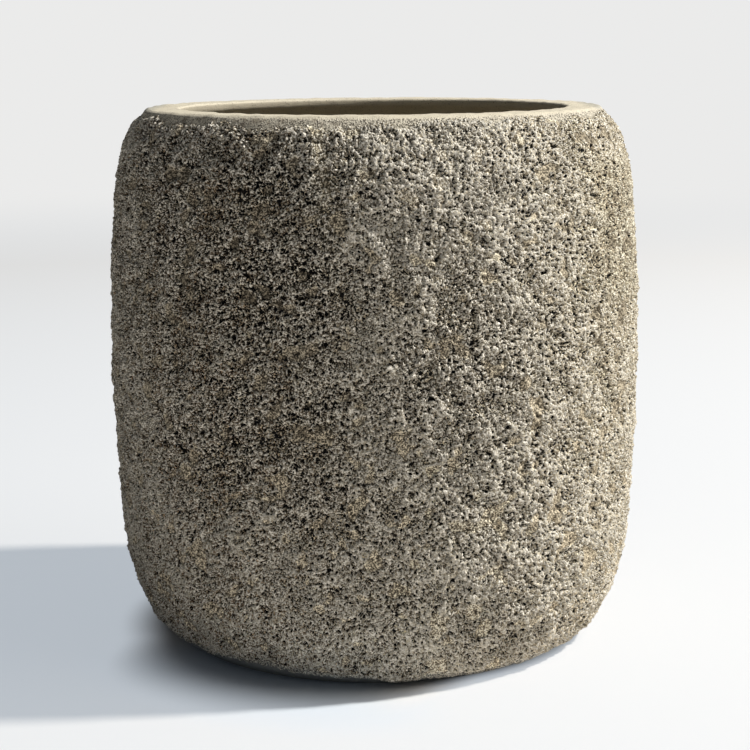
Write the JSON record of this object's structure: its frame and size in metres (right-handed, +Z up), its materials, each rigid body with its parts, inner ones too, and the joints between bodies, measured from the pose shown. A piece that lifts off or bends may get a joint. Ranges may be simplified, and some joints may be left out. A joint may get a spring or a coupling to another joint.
{
  "type": "barrel planter",
  "caption": "Thick barrel-shaped planter of fired clay with a gritty crust, a smooth rim and inside, and a rubber drain bung.",
  "frame": {"origin": "centre of the foot, on the ground", "axes": "+Z up along the pot's axis, front towards -Y"},
  "size_m": [0.4, 0.4, 0.4],
  "materials": {
    "clay": "bare fired clay, matt",
    "crust": "coarse gritty crust, matt",
    "slip": "smooth slip, matt",
    "rubber": "matt moulded rubber"
  },
  "bodies": {
    "pot": {"clay_body": "clay", "rough_crust": "crust", "smooth_slip": "slip"},
    "bung": {"drain_bung": "rubber"}
  },
  "joints": [
    {"name": "bung_lift", "type": "slide", "parent": "pot", "child": "bung", "axis": [0, 0, 1], "range_m": [0, 0.45]}
  ]
}
